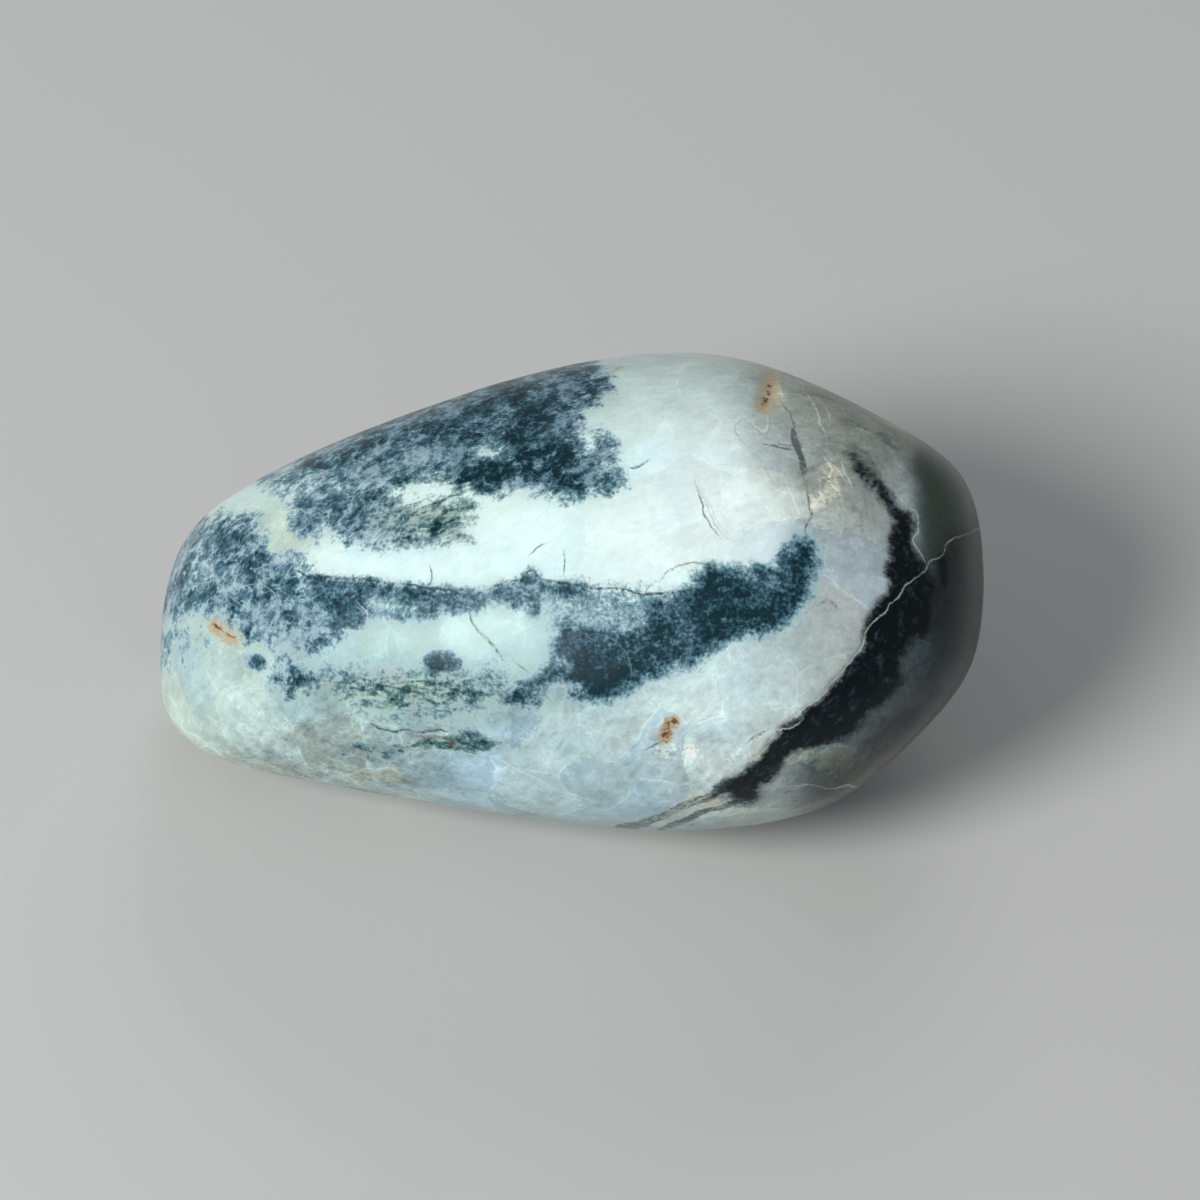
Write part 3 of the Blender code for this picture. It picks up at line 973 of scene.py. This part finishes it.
def link_new(name, mesh):
    made = bpy.data.objects.new(name, mesh)
    bpy.context.scene.collection.objects.link(made)
    return made


def as_plain_mesh(obj, name):
    """The object's mesh with its modifiers' result in it."""
    bpy.context.view_layer.update()
    seen = obj.evaluated_get(bpy.context.evaluated_depsgraph_get())
    mesh = bpy.data.meshes.new_from_object(seen)
    mesh.name = name
    return mesh


def smooth_core():
    """A smoothed copy of the CAD stone, for the skin to be drawn onto."""
    whole = bmesh.new()
    whole.from_mesh(frame["nodes"]["stone"].data)
    bmesh.ops.remove_doubles(whole, verts=whole.verts, dist=WELD)
    mesh = bpy.data.meshes.new("stone core")
    whole.to_mesh(mesh)
    whole.free()
    core = link_new("stone core", mesh)
    rounding = core.modifiers.new("Rounding", "SUBSURF")
    rounding.levels = 1
    rounding.render_levels = 1
    return core


def skin_cage(cells):
    """A fine closed grid round the stone, with squares of nearly one size."""
    cage = bmesh.new()
    bmesh.ops.create_cube(cage, size=2)
    bmesh.ops.subdivide_edges(cage, edges=cage.edges, cuts=cells - 1, use_grid_fill=True)
    half = (STONE_HIGH - STONE_LOW) / 2
    for vertex in cage.verts:
        evened = Vector([math.tan(value * math.pi / 4) for value in vertex.co])
        way = evened.normalized()
        vertex.co = MIDDLE + Vector([way[axis] * half[axis] * CAGE_SIZE for axis in range(3)])
    mesh = bpy.data.meshes.new("pebble skin")
    cage.to_mesh(mesh)
    cage.free()
    mesh.shade_smooth()
    return mesh


class Geometry(Tree):
    """Builds a Geometry Nodes tree with these named inputs, and keeps their identifiers."""

    def __init__(self, name, sockets):
        self.tree = bpy.data.node_groups.new(name, "GeometryNodeTree")
        self.tree.is_modifier = True
        face = self.tree.interface
        face.new_socket("Geometry", in_out="INPUT", socket_type="NodeSocketGeometry")
        self.ids = {}
        for title, kind in sockets:
            made = face.new_socket(title, in_out="INPUT", socket_type=kind)
            self.ids[title] = made.identifier
        face.new_socket("Geometry", in_out="OUTPUT", socket_type="NodeSocketGeometry")
        self.entry = self.node("NodeGroupInput").outputs
        self.exit = self.node("NodeGroupOutput").inputs

    def noise(self, size, seed, detail):
        """Noise of about -0.5 to 0.5 with bumps of this size in metres."""
        made = self.node("ShaderNodeTexNoise", noise_dimensions="4D")
        place = self.node("GeometryNodeInputPosition").outputs[0]
        fine = self.math("DIVIDE", 1.0, size)
        self.feed_named(made, Vector=place, W=seed, Scale=fine, Detail=detail)
        return self.math("SUBTRACT", made.outputs["Fac"], 0.5)


def skin_tree():
    """Raises the skin in soft ripples and dimples, and sinks its grooves."""
    bench = Geometry("Worn pebble skin", [
        ("Ripple Height", "NodeSocketFloat"), ("Ripple Size", "NodeSocketFloat"),
        ("Dimple Height", "NodeSocketFloat"), ("Dimple Size", "NodeSocketFloat"),
        ("Rest Margin", "NodeSocketFloat"), ("Seed", "NodeSocketInt"),
        ("Material", "NodeSocketMaterial"),
    ])
    entry = bench.entry
    ripple = bench.noise(entry["Ripple Size"], entry["Seed"], detail=1.0)
    dimple = bench.noise(entry["Dimple Size"], entry["Seed"], detail=2.0)
    raised = bench.blend((ripple, entry["Ripple Height"]), (dimple, entry["Dimple Height"]))
    place = bench.node("ShaderNodeSeparateXYZ")
    bench.feed(place.inputs[0], bench.node("GeometryNodeInputPosition").outputs[0])
    clear = bench.node("ShaderNodeMapRange", interpolation_type="SMOOTHSTEP")
    bench.feed_named(clear, Value=place.outputs["Z"], From_Max=entry["Rest Margin"])
    raised = bench.times(raised, clear.outputs["Result"])
    groove = bench.node("GeometryNodeInputNamedAttribute", data_type="FLOAT")
    bench.feed_named(groove, Name="groove")
    raised = bench.math("SUBTRACT", raised, groove.outputs["Attribute"])
    normal = bench.node("GeometryNodeInputNormal").outputs[0]
    move = bench.node("GeometryNodeSetPosition")
    offset = bench.vector("SCALE", normal, scale=raised)
    bench.feed_named(move, Geometry=entry["Geometry"], Offset=offset)
    realize = bench.node("GeometryNodeRealizeInstances")
    bench.feed(realize.inputs[0], move.outputs[0])
    dress = bench.node("GeometryNodeSetMaterial")
    bench.feed_named(dress, Geometry=realize.outputs[0], Material=entry["Material"])
    bench.feed(bench.exit["Geometry"], dress.outputs[0])
    return bench


def drawn_skin(settings):
    """The fine grid, drawn onto the smoothed CAD stone."""
    core = smooth_core()
    skin = link_new("pebble skin", skin_cage(settings.cells))
    draw = skin.modifiers.new("Draw on", "SHRINKWRAP")
    draw.target = core
    draw.wrap_method = "PROJECT"
    draw.use_negative_direction = True
    draw.use_positive_direction = True
    ease = skin.modifiers.new("Ease", "SMOOTH")
    ease.factor = 0.5
    ease.iterations = 2
    mesh = as_plain_mesh(skin, "pebble drawn")
    for used in (skin, core):
        old = used.data
        bpy.data.objects.remove(used)
        bpy.data.meshes.remove(old)
    return mesh


def set_down(mesh):
    """Keeps the mesh inside the CAD stone's box, with its flat on the ground."""
    points = np.clip(vertex_table(mesh, "co"), np.array(STONE_LOW), np.array(STONE_HIGH))
    mesh.vertices.foreach_set("co", points.astype(np.float32).ravel())
    mesh.update()


# Settings, operators and panel

KEY_SIZE = 0.5  # how wide each light is, in metres
BACK_SIZE = 0.8
KEY_PLACE = Vector((-0.67, -0.66, 0.76))
BACK_PLACE = Vector((0.2, 1.1, 0.8))
SKY_COLOUR = (0.9, 0.95, 1.0, 1.0)
FLOOR_ROUGHNESS = 0.9


class PebbleSettings(bpy.types.PropertyGroup):
    cells: bpy.props.IntProperty(
        name="Cells", description="Squares along each side of the skin's grid",
        default=127, min=16, max=128)
    ripple_height: bpy.props.FloatProperty(
        name="Ripple Height", description="How high the worn skin's soft ripples stand",
        default=0.25 * MM, min=0.0, unit="LENGTH", precision=5)
    ripple_size: bpy.props.FloatProperty(
        name="Ripple Size", description="How wide the soft ripples are",
        default=11 * MM, min=1 * MM, unit="LENGTH", precision=4)
    dimple_height: bpy.props.FloatProperty(
        name="Dimple Height", description="How high the small dimples stand",
        default=0.05 * MM, min=0.0, unit="LENGTH", precision=5)
    dimple_size: bpy.props.FloatProperty(
        name="Dimple Size", description="How wide the small dimples are",
        default=3 * MM, min=1 * MM, unit="LENGTH", precision=4)
    seed: bpy.props.IntProperty(
        name="Seed", description="Which random ripples and wandering layers are made", default=7)
    crystal_size: bpy.props.FloatProperty(
        name="Crystal Size", description="How wide the pale ground's crystals are",
        default=8 * MM, min=1 * MM, unit="LENGTH", precision=4)
    gloss: bpy.props.FloatProperty(
        name="Gloss", description="How strongly the polish mirrors the light",
        default=0.21, min=0.0, max=1.0, subtype="FACTOR")
    gloss_roughness: bpy.props.FloatProperty(
        name="Polish Roughness", description="How matt the waxy polish is",
        default=0.31, min=0.0, max=1.0, subtype="FACTOR")
    translucency: bpy.props.FloatProperty(
        name="Translucency", description="How much light goes into the stone",
        default=0.0, min=0.0, max=1.0, subtype="FACTOR")
    glow_depth: bpy.props.FloatProperty(
        name="Glow Depth", description="How far light spreads inside the stone",
        default=1.0 * MM, min=0.0, unit="LENGTH", precision=4)


class StageSettings(bpy.types.PropertyGroup):
    floor_size: bpy.props.FloatProperty(
        name="Floor Size", description="How wide the pale floor is",
        default=6.0, min=0.5, unit="LENGTH")
    floor_colour: bpy.props.FloatVectorProperty(
        name="Floor Colour", description="The pale floor's colour",
        default=(0.60, 0.60, 0.585), size=3, min=0.0, max=1.0, subtype="COLOR")
    key_power: bpy.props.FloatProperty(
        name="Key Power", description="How strong the main soft light is",
        default=12.0, min=0.0, unit="POWER")
    fill_power: bpy.props.FloatProperty(
        name="Back Power", description="How strong the weak light from behind is",
        default=3.0, min=0.0, unit="POWER")
    sky_strength: bpy.props.FloatProperty(
        name="Surrounding Light", description="How bright the plain surroundings are",
        default=0.24, min=0.0, subtype="FACTOR")


class PEBBLE_OT_stone(bpy.types.Operator):
    """Make the pebble with its worn skin, markings and polish"""

    bl_idname = "pebble.stone"
    bl_label = "Make Pebble"

    def execute(self, context):
        settings = context.scene.pebble
        mesh = drawn_skin(settings)
        layers = lay_markings(mesh, settings.seed)
        material = pebble_material(settings, layers)

        worn = link_new("pebble worn", mesh)
        bench = skin_tree()
        wear = worn.modifiers.new("Wear", "NODES")
        wear.node_group = bench.tree
        for title, value in (
            ("Ripple Height", settings.ripple_height), ("Ripple Size", settings.ripple_size),
            ("Dimple Height", settings.dimple_height), ("Dimple Size", settings.dimple_size),
            ("Rest Margin", REST_MARGIN), ("Seed", settings.seed), ("Material", material),
        ):
            wear[bench.ids[title]] = value
        finished = as_plain_mesh(worn, "jadeite_pebble")
        bpy.data.objects.remove(worn)
        bpy.data.meshes.remove(mesh)
        set_down(finished)
        finished.shade_smooth()
        stone = link_new("jadeite_pebble", finished)
        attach(stone, "root")
        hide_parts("stone")
        return {"FINISHED"}


def aim(obj, place, target):
    """Puts a camera or light at a place, looking at the target."""
    obj.location = place
    obj.rotation_euler = (target - place).to_track_quat("-Z", "Y").to_euler()


def soft_light(name, power, size, place):
    light = bpy.data.lights.new(name, "AREA")
    light.shape = "DISK"
    light.size = size
    light.energy = power
    obj = bpy.data.objects.new(name, light)
    bpy.context.scene.collection.objects.link(obj)
    aim(obj, place, MIDDLE)


class PEBBLE_OT_stage(bpy.types.Operator):
    """Make the pale floor, the soft studio lights and the camera"""

    bl_idname = "pebble.stage"
    bl_label = "Make Stage"

    def execute(self, context):
        settings = context.scene.pebble_stage
        half = settings.floor_size / 2
        mesh = bpy.data.meshes.new("floor")
        corners = [(-half, -half, 0), (half, -half, 0), (half, half, 0), (-half, half, 0)]
        mesh.from_pydata(corners, [], [(0, 1, 2, 3)])
        matt = bpy.data.materials.new("pale floor")
        matt.use_nodes = True
        shader = matt.node_tree.nodes["Principled BSDF"]
        shader.inputs["Base Color"].default_value = (*settings.floor_colour, 1.0)
        shader.inputs["Roughness"].default_value = FLOOR_ROUGHNESS
        mesh.materials.append(matt)
        link_new("floor", mesh)

        soft_light("key light", settings.key_power, KEY_SIZE, KEY_PLACE)
        soft_light("back light", settings.fill_power, BACK_SIZE, BACK_PLACE)
        world = bpy.data.worlds.new("plain surroundings")
        world.use_nodes = True
        sky = world.node_tree.nodes["Background"]
        sky.inputs["Color"].default_value = SKY_COLOUR
        sky.inputs["Strength"].default_value = settings.sky_strength
        context.scene.world = world
        context.scene.view_settings.view_transform = "Standard"

        camera = bpy.data.objects.new("camera", bpy.data.cameras.new("camera"))
        camera.data.sensor_width = SENSOR
        camera.data.lens = SENSOR * EYE_DISTANCE * MM / VIEW_WIDTH
        context.scene.collection.objects.link(camera)
        target = MIDDLE + (ACROSS * EYE_ACROSS + UP * EYE_UP) * MM
        aim(camera, target + OUT * EYE_DISTANCE * MM, target)
        context.scene.camera = camera
        return {"FINISHED"}


class PEBBLE_PT_sidebar(bpy.types.Panel):
    bl_idname = "PEBBLE_PT_sidebar"
    bl_label = "Jadeite Pebble"
    bl_space_type = "VIEW_3D"
    bl_region_type = "UI"
    bl_category = "Pebble"

    def draw(self, context):
        for settings, operator in (
            (context.scene.pebble, "pebble.stone"), (context.scene.pebble_stage, "pebble.stage")
        ):
            box = self.layout.box()
            for name in settings.__annotations__:
                box.prop(settings, name)
            box.operator(operator)


CLASSES = (PebbleSettings, StageSettings, PEBBLE_OT_stone, PEBBLE_OT_stage, PEBBLE_PT_sidebar)


def register():
    for made in CLASSES:
        bpy.utils.register_class(made)
    bpy.types.Scene.pebble = bpy.props.PointerProperty(type=PebbleSettings)
    bpy.types.Scene.pebble_stage = bpy.props.PointerProperty(type=StageSettings)


def unregister():
    del bpy.types.Scene.pebble_stage
    del bpy.types.Scene.pebble
    for made in reversed(CLASSES):
        bpy.utils.unregister_class(made)


def main():
    register()
    bpy.ops.pebble.stone()
    bpy.ops.pebble.stage()


if __name__ == "__main__":
    main()
